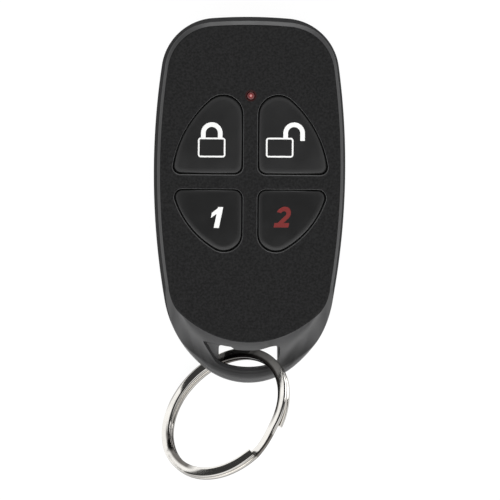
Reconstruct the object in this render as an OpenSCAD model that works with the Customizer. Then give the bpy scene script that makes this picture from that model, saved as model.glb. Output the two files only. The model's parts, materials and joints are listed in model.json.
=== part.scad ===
// Alarm key fob: a two-part case with four keys, a lamp, a coin cell and a split ring in the lug.
// The fob lies on its back. +Z leaves the front face and +Y runs to the lamp end.
// The origin is on the back face, at the middle of the length.

/* [Case outline] */
// Length from the top edge to the tip of the lug
case_length = 63.5; // [60:0.5:68]
// Width at the widest place
case_width = 33.2; // [33:0.1:36]
// Distance of the widest place above the middle
widest_up = 5.3; // [3:0.1:7]
// Radius of the shallow curve along the top edge
top_radius = 85; // [60:1:120]
// Radius of the two top corners
corner_radius = 9.6; // [8.5:0.1:11]
// Radius of the long sides
side_radius = 128; // [115:1:135]
// Radius of the haunches that lead into the lug
haunch_radius = 18.9; // [16:0.1:22]
// Radius of the lug end
lug_radius = 12.2; // [11.5:0.1:13]

/* [Faces] */
// Width of the rim along the sides, between the outline and the flat front face
rim_width = 1.1; // [0.9:0.05:1.5]
// Width of that rim at the top
top_rim = 1.4; // [1.1:0.05:1.8]
// Width of the bevel that edges the front face
bevel_width = 0.55; // [0.4:0.05:0.75]
// Height of the bevel that edges the front face
bevel_height = 0.55; // [0.4:0.05:1]
// Distance from the lug tip to the lower edge of the front face
face_setback = 7.2; // [6.6:0.1:8]
// Radius of the lower edge of both faces
face_end_radius = 16.3; // [15.8:0.1:18]
// Radius that joins the sides of a face to its lower edge
face_blend_radius = 4.5; // [3:0.1:6]
// Distance from the outline to the flat back face
back_rim = 3; // [2.2:0.1:3.4]
// Height of the rounded edge of the back face
back_round = 2.8; // [2:0.1:3.4]
// How far the side leans in before that rounded edge
back_lean = 0.4; // [0.2:0.1:0.8]
// Distance from the lug tip to the lower edge of the back face
back_setback = 8.5; // [8:0.1:9.5]

/* [Walls] */
// Thickness of the front skin
front_wall = 1.6; // [1.2:0.1:2.4]
// Thickness of the back floor
back_wall = 1.6; // [1.2:0.1:2.4]
// Thickness of the side walls at the parting line
side_wall = 2; // [1.8:0.1:2.2]
// Distance from the lug tip to the end of the cavity
cavity_setback = 9.8; // [9.6:0.1:11]
// Height of the lip that locates the front cover
lip_height = 1; // [0.6:0.1:1.6]
// Thickness of that lip
lip_width = 0.9; // [0.6:0.1:1.1]
// Clearance around the lip
lip_gap = 0.1; // [0.05:0.05:0.2]

/* [Lug] */
// Thickness of the lug from back to front
lug_thick = 4; // [3.6:0.1:4.4]
// Radius of the lug's outer edge, measured across the lug
lug_edge = 1; // [0.6:0.1:1.4]
// Width of the bar that closes the lug
bar_width = 2.4; // [2.2:0.1:2.8]
// Bevel along the inner edges of the bar
bar_bevel = 0.8; // [0.4:0.1:1]
// Width of the slot through the lug
slot_width = 10.4; // [9.6:0.1:11]
// Distance from the lug tip to the upper wall of the slot
slot_setback = 6.35; // [6.2:0.05:6.6]
// Radius of the upper wall of the slot
slot_wall_radius = 25; // [18:1:40]

/* [Keys] */
// Clearance between a key and its window
key_gap = 0.3; // [0.2:0.05:0.4]
// Distance from the middle line to the inner side of each key
key_inner = 1.47; // [1.3:0.01:2]
// Radius of the inner corner of each key
inner_corner = 1.3; // [0.8:0.1:2]
// Radius of the outer corner of each key
outer_corner = 1.2; // [0.8:0.1:1.8]
// Distance from the top edge to the level from which the keys are placed
keys_setback = 31.75; // [31.25:0.05:32.5]
// Height of the upper keys' straight edge above that level
upper_base = 4.5; // [4.3:0.1:5.5]
// Length of the upper keys from the straight edge to the tip
upper_length = 13.6; // [12.5:0.1:14.5]
// Radius of the tip of the upper keys
upper_tip = 3.3; // [2.5:0.1:4]
// Radius of the outer side of the upper keys
upper_side = 19.4; // [18:0.1:20.5]
// Direction in which the tip of an upper key runs into its outer side
upper_turn = 48.6; // [45:0.1:52]
// Height of the lower keys' straight edge above that level
lower_base = 1.73; // [1.2:0.01:1.9]
// Length of the lower keys from the straight edge to the tip
lower_length = 10.73; // [10:0.01:11.5]
// Radius of the tip of the lower keys
lower_tip = 3; // [2.4:0.1:3.6]
// Radius of the outer side of the lower keys
lower_side = 15.9; // [15:0.1:16.8]
// Direction in which the tip of a lower key runs into its outer side
lower_turn = 59.2; // [56:0.1:62]
// Width of the flange that keeps a key behind its window
key_flange = 0.7; // [0.4:0.05:0.8]
// Thickness of the flange
flange_thick = 0.6; // [0.4:0.1:1]
// Gap between the flange and the skin when the key is up
key_rest_gap = 0.05; // [0.03:0.01:0.1]
// Radius of the crowned top of a key
key_crown = 90; // [60:5:140]
// Height of the crown above the front face
key_proud = 0.15; // [0:0.05:0.4]

/* [Rubber mat] */
// Thickness of the web
web_thick = 0.6; // [0.4:0.1:1]
// Height of the pads that carry the keys
pad_height = 0.45; // [0.4:0.05:0.8]
// How far a pad stays inside its key
pad_inset = 1.2; // [0.8:0.1:1.8]
// Length of the nib below each pad
nib_length = 0.95; // [0.5:0.05:2]
// Radius of the nib
nib_radius = 1.1; // [0.8:0.1:1.2]
// Distance from the keys to the edge of the mat
mat_margin = 1.6; // [1.2:0.1:2]

/* [Circuit board] */
// Thickness of the board
board_thick = 1; // [0.8:0.1:1.6]
// Clearance between the board and the case
board_gap = 0.4; // [0.2:0.1:0.6]
// Side of a switch base
switch_side = 5.2; // [4.6:0.1:5.6]
// Height of a switch with its cover plate
switch_height = 1.4; // [1.2:0.1:2]
// Thickness of the cover plate of a switch
plate_thick = 0.2; // [0.15:0.05:0.3]
// Radius of a switch plunger
plunger_radius = 1.25; // [1:0.05:1.4]
// Running clearance around a plunger
plunger_gap = 0.05; // [0.02:0.01:0.1]
// Height of a plunger above the cover plate
plunger_rise = 0.45; // [0.4:0.05:0.8]
// Depth of a plunger below the top of the switch
plunger_depth = 0.5; // [0.3:0.05:0.6]
// Distance from a key's inner side to the middle of its switch
switch_in = 5.1; // [4.8:0.1:5.6]
// Distance from the upper keys' straight edge to their switches
upper_switch_up = 5.85; // [5.4:0.05:6.2]
// Distance from the lower keys' straight edge to their switches
lower_switch_down = 4.5; // [4:0.1:5]
// Thickness of leads and terminals
lead_thick = 0.2; // [0.15:0.05:0.25]
// Thickness of the wire of the aerial
aerial_wire = 0.8; // [0.6:0.1:1]
// Height of the aerial above the board
aerial_rise = 1.4; // [1:0.1:2]

/* [Lamp] */
// Radius of the light pipe
pipe_radius = 0.7; // [0.6:0.05:1]
// Clearance around the light pipe
pipe_gap = 0.04; // [0.02:0.01:0.1]
// Distance from the top edge to the lamp
lamp_setback = 13.65; // [12:0.05:14]
// Width of the pipe's collar beyond its stem
collar_width = 0.6; // [0.4:0.1:0.8]
// Thickness of the collar
collar_thick = 0.5; // [0.4:0.1:0.8]
// Height of the lamp chip
chip_height = 0.6; // [0.4:0.1:0.8]
// Gap between the lamp chip and the pipe
lamp_gap = 0.2; // [0.1:0.05:0.4]

/* [Coin cell] */
// Diameter of the cell
cell_diameter = 20; // [18:0.1:21]
// Height of the cell
cell_height = 3.2; // [2.5:0.1:3.6]
// Wall of the cell's can
can_wall = 0.3; // [0.2:0.05:0.4]
// Thickness of the sealing ring
seal_width = 0.6; // [0.4:0.1:0.8]
// Height of the cap above the can
cap_rise = 0.3; // [0.2:0.05:0.4]
// Clearance between the parts of the cell
cell_gap = 0.02; // [0.01:0.01:0.04]
// Distance of the cell above the middle
cell_up = 1; // [-1:0.5:2]
// Thickness of the clip and the contact
strap_thick = 0.3; // [0.2:0.05:0.4]
// Width of the clip
strap_width = 6; // [4:0.5:8]
// Gap between the clip and the back floor
strap_gap = 0.5; // [0.3:0.1:0.8]
// Clearance between the cell and the legs of the clip
clip_gap = 0.4; // [0.2:0.1:0.6]

/* [Screws] */
// Radius of a screw's shank
shank_radius = 0.9; // [0.8:0.05:1]
// Radius of a screw's head
head_radius = 1.8; // [1.6:0.1:2]
// Height of a screw's head
head_height = 1.3; // [1:0.1:1.6]
// Depth of the pocket that takes the head
head_pocket = 1.8; // [1.6:0.1:2.2]
// Clearance around the head
head_gap = 0.2; // [0.1:0.05:0.3]
// Clearance between the shank and its hole
shank_gap = 0.03; // [0.01:0.01:0.1]
// Wall of a screw post
post_wall = 1.1; // [0.8:0.1:1.3]
// Distance of the upper screws from the middle line
screw_out = 10.2; // [9.5:0.1:10.6]
// Distance of the upper screws from the top edge
screw_down = 8.2; // [7.6:0.1:9]
// Distance of the lower screw from the lug tip
screw_up = 13.6; // [13.2:0.1:14]
// Front skin left over the tip of a screw post's hole
screw_skin = 0.6; // [0.4:0.1:1]

/* [Split ring] */
// Outside diameter of the ring
ring_diameter = 25.7; // [24:0.1:27]
// Width of the flat wire, measured along the radius
wire_width = 1.8; // [1.5:0.05:1.95]
// Thickness of the flat wire
wire_thick = 0.72; // [0.6:0.02:0.84]
// Gap between the two turns
turn_gap = 0.04; // [0.02:0.01:0.08]
// Direction of the ring's level diameter, from +X
ring_turn = 47.5; // [46:0.5:51]
// Place on the ring that lies in the slot, from the level diameter
ring_feed = -29; // [-31:0.5:-27]
// Distance of that place to the right of the middle line
ring_aside = 0.33; // [-0.2:0.01:0.4]
// Distance of that place below the upper wall of the slot
ring_off = 1.3; // [1.25:0.05:1.5]
// Distance of that place behind the parting line
ring_behind = 0.7; // [0.5:0.05:0.8]
// Place on the ring where the wire starts to cross from one turn to the other
cross_from = 63; // [50:1:80]
// Length of that crossing, as an angle
cross_length = 39; // [30:1:50]

/* [Hidden] */

// Round faces are drawn with many sides
$fn = 64;
// Overlap of cutters past the faces that they cut
past = 1;

// Height of the parting line over the middle of the board
split_over = 0.1;

// Heights, stacked from the back face to the front face
strap_low = back_wall + strap_gap;
cell_low = strap_low + strap_thick;
cell_high = cell_low + cell_height;
board_low = cell_high + strap_thick;
board_high = board_low + board_thick;
switch_high = board_high + switch_height;
plunger_high = switch_high + plunger_rise;
web_low = plunger_high + nib_length;
web_high = web_low + web_thick;
key_low = web_high + pad_height;
flange_high = key_low + flange_thick;
skin_low = flange_high + key_rest_gap;
face_high = skin_low + front_wall;
split_high = (board_low + board_high) / 2 + split_over;
lip_high = split_high + lip_height;
lug_low = split_high - lug_thick / 2;
lug_high = split_high + lug_thick / 2;

// Ends of the case and places along it
top_y = case_length / 2;
tip_y = -case_length / 2;
lamp_y = top_y - lamp_setback;
upper_y = top_y - keys_setback + upper_base;
lower_y = top_y - keys_setback + lower_base;

// Where two circles meet, on the side of the line between their centres that side names
function meet(c1, r1, c2, r2, side) =
    let (d = norm(c2 - c1), u = (c2 - c1) / d,
         along = (d * d + r1 * r1 - r2 * r2) / (2 * d),
         off = sqrt(r1 * r1 - along * along))
    c1 + along * u + side * off * [-u[1], u[0]];
function heading(from, to) = atan2(to[1] - from[1], to[0] - from[0]);

// The right half of an outline as five tangent arcs, each [x, y, radius, first and last direction]
function outline_arcs(inset, top_inset, setback, blend, end) =
    let (rt = top_radius - top_inset, rs = side_radius - inset, rc = corner_radius - (inset + top_inset) / 2,
         top = [0, top_y - top_radius],
         side = [case_width / 2 - side_radius, widest_up],
         low = [0, tip_y + setback + end],
         corner = meet(side, rs - rc, top, rt - rc, 1),
         haunch = meet(side, rs - blend, low, abs(end - blend), blend > end ? 1 : -1),
         a1 = heading(top, corner), a2 = heading(side, corner), a3 = heading(side, haunch),
         a4 = blend > end ? heading(haunch, low) : heading(low, haunch))
    [[top[0], top[1], rt, 90, a1], [corner[0], corner[1], rc, a1, a2], [side[0], side[1], rs, a2, a3],
     [haunch[0], haunch[1], blend, a3, a4], [low[0], low[1], end, a4, -90]];

case_arcs = outline_arcs(0, 0, 0, haunch_radius, lug_radius);
face_arcs = outline_arcs(rim_width, top_rim, face_setback, face_blend_radius, face_end_radius);
back_arcs = outline_arcs(back_rim, back_rim, back_setback, face_blend_radius, face_end_radius);
cavity_arcs = outline_arcs(side_wall, side_wall, cavity_setback, face_blend_radius, face_end_radius);

// Directions at which every outline is sampled, from the top round the right side to the tip
arc_steps = [4, 12, 14, 9, 9];
stations = concat([for (k = [0:4]) each
    [for (i = [0:arc_steps[k] - 1])
        case_arcs[k][3] + (case_arcs[k][4] - case_arcs[k][3]) * i / arc_steps[k]]], [-90]);

// A point of an outline in a given direction, moved inwards by inset
hair = 0.0001;
function arc_for(arcs, a) = [for (s = arcs) if (a <= s[3] + hair && a >= s[4] - hair) s][0];
function edge_point(arcs, a, inset) =
    let (s = arc_for(arcs, a)) [s[0] + (s[2] - inset) * cos(a), s[1] + (s[2] - inset) * sin(a)];
// A half outline closed by its mirror image
function mirrored(p) = len(p) == 2 ? [-p[0], p[1]] : [-p[0], p[1], p[2]];
function both_sides(half) = concat(half, [for (i = [len(half) - 2:-1:1]) mirrored(half[i])]);
function loop(arcs, inset = 0) = both_sides([for (a = stations) edge_point(arcs, a, inset)]);

// How much of the lug's profile an outline point takes: none along the sides, all round the lug
lug_starts = 7;
lug_full = 42;
function eased(x) = let (c = min(1, max(0, x))) c * c * (3 - 2 * c);
function lug_share(a) = eased((-a - lug_starts) / (lug_full - lug_starts));

// The profile from the parting line to a face, as [distance in, height]: a bowed wall up to a crease,
// then a bevel to the front face or a rounded edge to the back face. Towards the lug the crease sinks,
// the wall turns into the lug's round edge and the bevel widens into a hollow scoop.
side_bow = 2.4;
wall_steps = 11;
crease_step = 5;
scoop_end = 78;
lug_flat = 0.23;
function quarter(h) = [1 - cos(90 * h), sin(90 * h)];
function scoop(g) =
    let (a = scoop_end * g)
    [lug_flat + (1 - lug_flat) * sin(a) / sin(scoop_end), (1 - cos(a)) / (1 - cos(scoop_end))];
function side_crease(front) = front ? [rim_width - bevel_width, face_high - split_high - bevel_height]
                                    : [back_lean, split_high - back_round];
function wall_point(h, w, crease) =
    let (bowed = [pow(h, side_bow), h], s = bowed + (quarter(h) - bowed) * w)
    [crease[0] * s[0], crease[1] * s[1]];
function edge_curve(k, w, front) =
    let (n = wall_steps - crease_step, g = (k - crease_step) / n, side = front ? [g, g] : quarter(g))
    side + (scoop((g * n - 1) / (n - 1)) - side) * w;
function profile(k, w, width, front) =
    let (from = side_crease(front), crease = from + ([lug_edge, lug_thick / 2] - from) * w,
         end = [width, front ? face_high - split_high : split_high])
    k <= crease_step ? wall_point(k / crease_step, w, crease)
    : let (s = edge_curve(k, w, front)) [for (i = [0, 1]) crease[i] + (end[i] - crease[i]) * s[i]];

// One level of a cover's outer surface: step k of the profile at every outline direction
function level(k, front) =
    both_sides([for (a = stations)
        let (outer = edge_point(case_arcs, a, 0),
             inner = edge_point(front ? face_arcs : back_arcs, a, 0),
             width = norm(inner - outer),
             step = profile(k, lug_share(a), width, front),
             p = outer + (inner - outer) * step[0] / width)
        [p[0], p[1], split_high + (front ? 1 : -1) * step[1]]]);

// A closed skin over levels that are listed from the lowest to the highest
module skin(levels) {
    n = len(levels[0]);
    last = len(levels) - 1;
    polyhedron(
        points = [for (ring = levels) each ring],
        faces = concat(
            [[for (i = [0:n - 1]) last * n + i]],
            [[for (i = [n - 1:-1:0]) i]],
            [for (k = [0:last - 1], i = [0:n - 1]) each
                let (a = k * n + i, b = k * n + (i + 1) % n) [[a, b, b + n], [a, b + n, a + n]]]));
}

// A plate with the shape of an outline between two heights
module slab(points, low, high) {
    translate([0, 0, low]) linear_extrude(high - low) polygon(points);
}
module rod(place, radius, low, high) {
    translate([place[0], place[1], low]) cylinder(r = radius, h = high - low);
}
module block(middle, size, low, high) {
    translate([middle[0] - size[0] / 2, middle[1] - size[1] / 2, low]) cube([size[0], size[1], high - low]);
}
// A shape on the right and its mirror image on the left
module pair() {
    children();
    mirror([1, 0, 0]) children();
}

// The slot through the lug, between the end wall of the case and the bar, flared along the bar
slot_y = tip_y + slot_setback;
slot_radius = lug_radius - bar_width;
module slot() {
    lug_middle = [0, tip_y + lug_radius];
    front_flare = lug_high - bar_bevel;
    front_rise = face_high - front_flare;
    back_flare = lug_low + bar_bevel;
    difference() {
        intersection() {
            union() {
                rod(lug_middle, slot_radius, -past, face_high + past);
                translate([lug_middle[0], lug_middle[1], front_flare])
                    cylinder(r1 = slot_radius, r2 = slot_radius + front_rise, h = front_rise);
                translate([lug_middle[0], lug_middle[1], 0])
                    cylinder(r1 = slot_radius + back_flare, r2 = slot_radius, h = back_flare);
            }
            block([0, tip_y], [slot_width, 2 * (slot_setback + past)], -past, face_high + past);
        }
        rod([0, slot_y + slot_wall_radius], slot_wall_radius, -2 * past, face_high + 2 * past);
    }
}

// A key's outline as four arcs, with its straight edge at base; up is 1 or -1
arc_points = 8;
function key_arcs(length, tip, side, turn) =
    let (tip_at = [key_inner + tip, length - tip],
         side_at = tip_at - (side - tip) * [cos(turn), sin(turn)],
         outer_x = side_at[0] + sqrt(pow(side - outer_corner, 2) - pow(outer_corner - side_at[1], 2)),
         outer_at = [outer_x, outer_corner],
         inner_at = [key_inner + inner_corner, inner_corner],
         fall = heading(side_at, outer_at))
    [[tip_at, tip, 180, turn], [side_at, side, turn, fall],
     [outer_at, outer_corner, fall, -90], [inner_at, inner_corner, -90, -180]];
function key_points(arcs, base, up, outset) =
    [for (s = arcs, i = [0:arc_points])
        let (a = s[2] + (s[3] - s[2]) * i / arc_points, p = s[0] + (s[1] + outset) * [cos(a), sin(a)])
        [p[0], base + up * p[1]]];
upper_arcs = key_arcs(upper_length, upper_tip, upper_side, upper_turn);
lower_arcs = key_arcs(lower_length, lower_tip, lower_side, lower_turn);
function upper_points(outset) = key_points(upper_arcs, upper_y, 1, outset);
function lower_points(outset) = key_points(lower_arcs, lower_y, -1, outset);

// The middle of a key, over its switch
switch_out = key_inner + switch_in;
upper_mid = [switch_out, upper_y + upper_switch_up];
lower_mid = [switch_out, lower_y - lower_switch_down];
key_mids = [upper_mid, lower_mid];

// Screw places and the sizes of their posts
upper_screw = [screw_out, top_y - screw_down];
lower_screw = [0, tip_y + screw_up];
hole_radius = shank_radius + shank_gap;
front_post = hole_radius + post_wall;
pocket_radius = head_radius + head_gap;
back_post = pocket_radius + post_wall;
screw_high = skin_low - screw_skin;
module at_screws() {
    pair() translate(upper_screw) children();
    translate(lower_screw) children();
}

// Board edge and the posts and ribs that hold the board
board_end = lower_screw[1] + back_post + board_gap;
hold_radius = 0.9;
hold_inside = 2 * hold_radius;
hold_out = 4.2;
upper_hold = [hold_out, top_y - side_wall - board_gap - hold_inside];
lower_hold = [screw_out, board_end + hold_inside];
rib_length = 4;
rib_reach = 1.8;
rib_places = [cell_up + cell_diameter / 2 + rib_length / 2, cell_up - cell_diameter / 2 + rib_length / 4];
rib_size = 2 * (rib_reach + side_wall);
rib_middle = case_width / 2 - side_wall - board_gap - rib_reach + rib_size / 2;

// Front half of the case, with four key windows, the lamp hole and its screw posts
module front_cover() {
    color("#2e2e30") difference() {
        union() {
            difference() {
                skin([for (k = [0:wall_steps]) level(k, true)]);
                slab(loop(cavity_arcs), split_high - past, skin_low);
                slab(loop(cavity_arcs, -lip_width - lip_gap), split_high - past, lip_high + lip_gap);
            }
            at_screws() rod([0, 0], front_post, split_high, skin_low + hair);
            pair() rod(upper_hold, hold_radius, board_high, skin_low + hair);
            pair() rod(lower_hold, hold_radius, board_high, skin_low + hair);
        }
        pair() slab(upper_points(key_gap), skin_low - past, face_high + past);
        pair() slab(lower_points(key_gap), skin_low - past, face_high + past);
        rod([0, lamp_y], pipe_radius + pipe_gap, skin_low - past, face_high + past);
        at_screws() rod([0, 0], hole_radius, split_high - past, screw_high + shank_gap);
        slot();
    }
}

// Back half of the case, with the lip, the screw pockets and the ribs under the board
module back_cover() {
    color("#28282a") difference() {
        union() {
            difference() {
                skin([for (k = [wall_steps:-1:0]) level(k, false)]);
                slab(loop(cavity_arcs), back_wall, split_high + past);
            }
            difference() {
                slab(loop(cavity_arcs, -lip_width), split_high - past, lip_high);
                slab(loop(cavity_arcs), split_high - 2 * past, lip_high + past);
            }
            intersection() {
                slab(loop(cavity_arcs, -lip_width), back_wall - hair, split_high);
                union() {
                    at_screws() rod([0, 0], back_post, back_wall - hair, split_high);
                    pair() for (y = rib_places)
                        block([rib_middle, y], [rib_size, rib_length], back_wall - hair, board_low);
                }
            }
        }
        at_screws() rod([0, 0], pocket_radius, -past, head_pocket);
        at_screws() rod([0, 0], hole_radius, -past, split_high + past);
        slot();
    }
}

// A key: a crowned cap in its window with a flange behind the skin
module key(cap, flange, mid) {
    intersection() {
        slab(cap, key_low, face_high + key_proud);
        translate([mid[0], mid[1], face_high + key_proud - key_crown]) sphere(r = key_crown, $fn = 128);
    }
    slab(flange, key_low, flange_high);
}
module upper_key() { key(upper_points(0), upper_points(key_gap + key_flange), upper_mid); }
module lower_key() { key(lower_points(0), lower_points(key_gap + key_flange), lower_mid); }
module lock_key() { color("#3c3c3e") mirror([1, 0, 0]) upper_key(); }
module unlock_key() { color("#3c3c3e") upper_key(); }
module first_key() { color("#343436") mirror([1, 0, 0]) lower_key(); }
module second_key() { color("#343436") lower_key(); }

// A switch plunger, which goes down with its key
module plunger(mid) { rod(mid, plunger_radius, switch_high - plunger_depth, plunger_high); }
module lock_plunger() { color("#d8d4c8") mirror([1, 0, 0]) plunger(upper_mid); }
module unlock_plunger() { color("#d8d4c8") plunger(upper_mid); }
module first_plunger() { color("#d8d4c8") mirror([1, 0, 0]) plunger(lower_mid); }
module second_plunger() { color("#d8d4c8") plunger(lower_mid); }

// Rubber mat between the keys and the switches: a web with four pads and four nibs
mat_low = lower_y - lower_length - key_gap - mat_margin;
mat_high = upper_y + upper_length + key_gap + mat_margin;
module key_mat() {
    color("#77797c") {
        difference() {
            intersection() {
                slab(loop(cavity_arcs, board_gap), web_low, web_high);
                block([0, (mat_low + mat_high) / 2], [case_width, mat_high - mat_low], web_low, web_high);
            }
            rod([0, lamp_y], pipe_radius + collar_width, web_low - past, web_high + past);
        }
        pair() slab(upper_points(-pad_inset), web_high - hair, key_low);
        pair() slab(lower_points(-pad_inset), web_high - hair, key_low);
        pair() for (m = key_mids) rod(m, nib_radius, plunger_high, web_low + hair);
    }
}

// Light pipe, held by its collar under the skin, and the lamp chip below it
module light_pipe() {
    color("#c8202c") {
        rod([0, lamp_y], pipe_radius, board_high + chip_height + lamp_gap, face_high);
        rod([0, lamp_y], pipe_radius + collar_width - pipe_gap, skin_low - collar_thick, skin_low);
    }
}
lamp_size = [1.6, 0.8];
module lamp_chip() {
    color("#f0e6d0") block([0, lamp_y], lamp_size, board_high, board_high + chip_height);
}

// Circuit board, cut away round the screw posts
module circuit_board() {
    low = board_low - past;
    high = board_high + past;
    color("#1f6b3a") difference() {
        slab(loop(cavity_arcs, board_gap), board_low, board_high);
        block([0, board_end - case_length / 2], [case_width, case_length], low, high);
        pair() rod(upper_screw, back_post + board_gap, low, high);
    }
}

// Four switches: moulded bases with a bore for the plunger, steel plates and soldered terminals
bore_radius = plunger_radius + plunger_gap;
bore_depth = plunger_depth + pad_height;
terminal = [1, 0.8];
terminal_out = switch_side / 2 + terminal[0] / 2;
terminal_up = switch_side / 3;
module switch_bases() {
    color("#1c1c1e") pair() for (m = key_mids) difference() {
        block(m, [switch_side, switch_side], board_high, switch_high - plate_thick);
        rod(m, bore_radius, switch_high - bore_depth, switch_high);
    }
}
module switch_plates() {
    color("#c4c6c8") pair() for (m = key_mids) difference() {
        block(m, [switch_side, switch_side], switch_high - plate_thick, switch_high);
        rod(m, bore_radius, switch_high - past, switch_high + past);
    }
}
module switch_terminals() {
    color("#c9c9cb") pair() for (m = key_mids, sx = [-1, 1], sy = [-1, 1])
        block(m + [sx * terminal_out, sy * terminal_up], terminal, board_high, board_high + lead_thick);
}

// Chips on the middle line, with their leads on the board
controller_at = [0, (upper_mid[1] + lower_mid[1]) / 2];
controller_size = [4.4, 5, 1.2];
controller_leads = 6;
radio_past_switch = 1;
radio_at = [0, upper_mid[1] + switch_side / 2 + radio_past_switch];
radio_size = [3, 3, 1];
radio_leads = 4;
lead_pitch = 0.65;
lead_reach = 0.7;
lead_width = 0.3;
module chip(at, size) { block(at, size, board_high + lead_thick, board_high + lead_thick + size[2]); }
module leads(at, size, count) {
    for (i = [0:count - 1], s = [-1, 1])
        block(at + [(i - (count - 1) / 2) * lead_pitch, s * size[1] / 2],
              [lead_width, 2 * lead_reach], board_high, board_high + lead_thick);
}
module controller_chip() { color("#18181a") chip(controller_at, controller_size); }
module radio_chip() { color("#18181a") chip(radio_at, radio_size); }
module chip_leads() {
    color("#c9c9cb") {
        leads(controller_at, controller_size, controller_leads);
        leads(radio_at, radio_size, radio_leads);
    }
}

// Crystal, capacitors and resistors
crystal_size = [5, 3.2];
crystal_at = [0, lower_mid[1] - switch_side - crystal_size[1] / 2];
crystal_high = 1.3;
part_size = [0.8, 1.6];
part_high = 0.6;
part_pitch = 1.6;
part_room = 1.4;
part_count = 3;
module crystal_can() {
    color("#c8c9cc") block(crystal_at, crystal_size, board_high, board_high + crystal_high);
}
module small_parts(y) {
    for (i = [0:part_count - 1]) {
        x = switch_out + (i - (part_count - 1) / 2) * part_pitch;
        block([x, y], part_size, board_high, board_high + part_high);
    }
}
module capacitors() {
    color("#b8955e") pair() small_parts(lower_mid[1] - switch_side / 2 - part_room - part_size[1] / 2);
}
module resistors() {
    color("#202022") pair() small_parts(upper_mid[1] + switch_side / 2 + part_room + part_size[1] / 2);
}

// Aerial: a hairpin of bare wire that stands on the board at the top
aerial_x = 3.4;
aerial_length = 3.6;
aerial_from_lamp = 2.8;
aerial_y = [lamp_y + aerial_from_lamp, lamp_y + aerial_from_lamp + aerial_length];
aerial_z = board_high + aerial_rise;
module aerial_loop() {
    r = aerial_wire / 2;
    color("#b87333") {
        pair() {
            rod([aerial_x, aerial_y[0]], r, board_high, aerial_z);
            translate([aerial_x, aerial_y[0], aerial_z]) sphere(r = r);
            translate([aerial_x, aerial_y[0], aerial_z]) rotate([-90, 0, 0])
                cylinder(r = r, h = aerial_y[1] - aerial_y[0]);
            translate([aerial_x, aerial_y[1], aerial_z]) sphere(r = r);
        }
        translate([-aerial_x, aerial_y[1], aerial_z]) rotate([0, 90, 0]) cylinder(r = r, h = 2 * aerial_x);
    }
}

// Coin cell with its positive can to the back, in a spring clip under the board
cell_radius = cell_diameter / 2;
cell_at = [0, cell_up];
can_high = cell_high - cap_rise;
seal_outer = cell_radius - can_wall - cell_gap;
cap_radius = seal_outer - seal_width - cell_gap;
clip_leg = cell_radius + clip_gap;
clip_tab = 1.2;
contact_size = [8, 5];
module cell_can() {
    color("#cfd0d2") difference() {
        rod(cell_at, cell_radius, cell_low, can_high);
        rod(cell_at, cell_radius - can_wall, cell_low + can_wall, can_high + past);
    }
}
module cell_seal() {
    color("#3a3a3c") difference() {
        rod(cell_at, seal_outer, cell_low + can_wall, can_high);
        rod(cell_at, seal_outer - seal_width, cell_low, can_high + past);
    }
}
module cell_cap() { color("#d6d7d9") rod(cell_at, cap_radius, cell_low + can_wall, cell_high); }
module battery_clip() {
    color("#c2b280") {
        block(cell_at, [2 * (clip_leg + strap_thick), strap_width], strap_low, cell_low);
        pair() {
            block([clip_leg + strap_thick / 2, cell_up], [strap_thick, strap_width], strap_low, board_low);
            block([clip_leg + clip_tab / 2, cell_up], [clip_tab, strap_width], cell_high, board_low);
        }
    }
}
module battery_contact() { color("#c9a94e") block(cell_at, contact_size, cell_high, board_low); }

// Three screws from the back, with a cross recess in each head
recess_width = 0.5;
recess_length = 2.4;
recess_depth = 0.7;
module case_screws() {
    color("#b4b6b9") at_screws() difference() {
        union() {
            rod([0, 0], head_radius, head_pocket - head_height, head_pocket);
            rod([0, 0], shank_radius, head_pocket - hair, screw_high);
        }
        for (turn = [0, 90]) rotate(turn)
            block([0, 0], [recess_length, recess_width], -past, head_pocket - head_height + recess_depth);
    }
}

// Split ring of flat wire in two turns. It leans on the case's resting plane and passes through the slot:
// its plane holds the level direction ring_u and the rising direction ring_v.
ring_radius = (ring_diameter - wire_width) / 2;
turn_pitch = wire_thick + turn_gap;
ring_rest = 0.05;
ring_slack = 0.1;
wire_corner = 0.26;
ring_place = [ring_aside, slot_y - ring_off, split_high - ring_behind];
ring_low_half = wire_width / 2 * sin(45) + turn_pitch * cos(45) - wire_corner * (sqrt(2) - 1) + ring_slack;
ring_rise = (ring_place[2] - ring_rest - ring_low_half) / (ring_radius * (1 + sin(ring_feed)));
ring_lean = asin(ring_rise);
ring_u = [cos(ring_turn), sin(ring_turn), 0];
ring_v = [sin(ring_turn) * cos(ring_lean), -cos(ring_turn) * cos(ring_lean), sin(ring_lean)];
ring_n = cross(ring_u, ring_v);
ring_centre = ring_place - ring_radius * (ring_u * cos(ring_feed) + ring_v * sin(ring_feed));
// The wire's section as points [along the radius, across the turns]
wire_section = [for (q = [0:3], i = [0:2])
    let (a = 90 * q + 45 * i, sx = (q == 0 || q == 3) ? 1 : -1, sy = q < 2 ? 1 : -1)
    [sx * (wire_width / 2 - wire_corner) + wire_corner * cos(a),
     sy * (wire_thick / 2 - wire_corner) + wire_corner * sin(a)]];
// The wire runs once round on the front turn, crosses, and runs once round on the back turn
full_turn = 360;
wire_start = cross_from + cross_length;
wire_end = wire_start + 2 * full_turn - cross_length;
wire_rings = 100;
wire_angles = [for (i = [0:wire_rings]) wire_start + (wire_end - wire_start) * i / wire_rings];
function turn_side(a) = turn_pitch * (eased((a - cross_from - full_turn) / cross_length) - 1 / 2);
function wire_ring(a) =
    let (out = ring_u * cos(a) + ring_v * sin(a), mid = ring_centre + ring_n * turn_side(a))
    [for (s = wire_section) mid + out * (ring_radius + s[0]) + ring_n * s[1]];
module split_ring() { color("#cfcac2") skin([for (a = wire_angles) wire_ring(a)]); }

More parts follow.
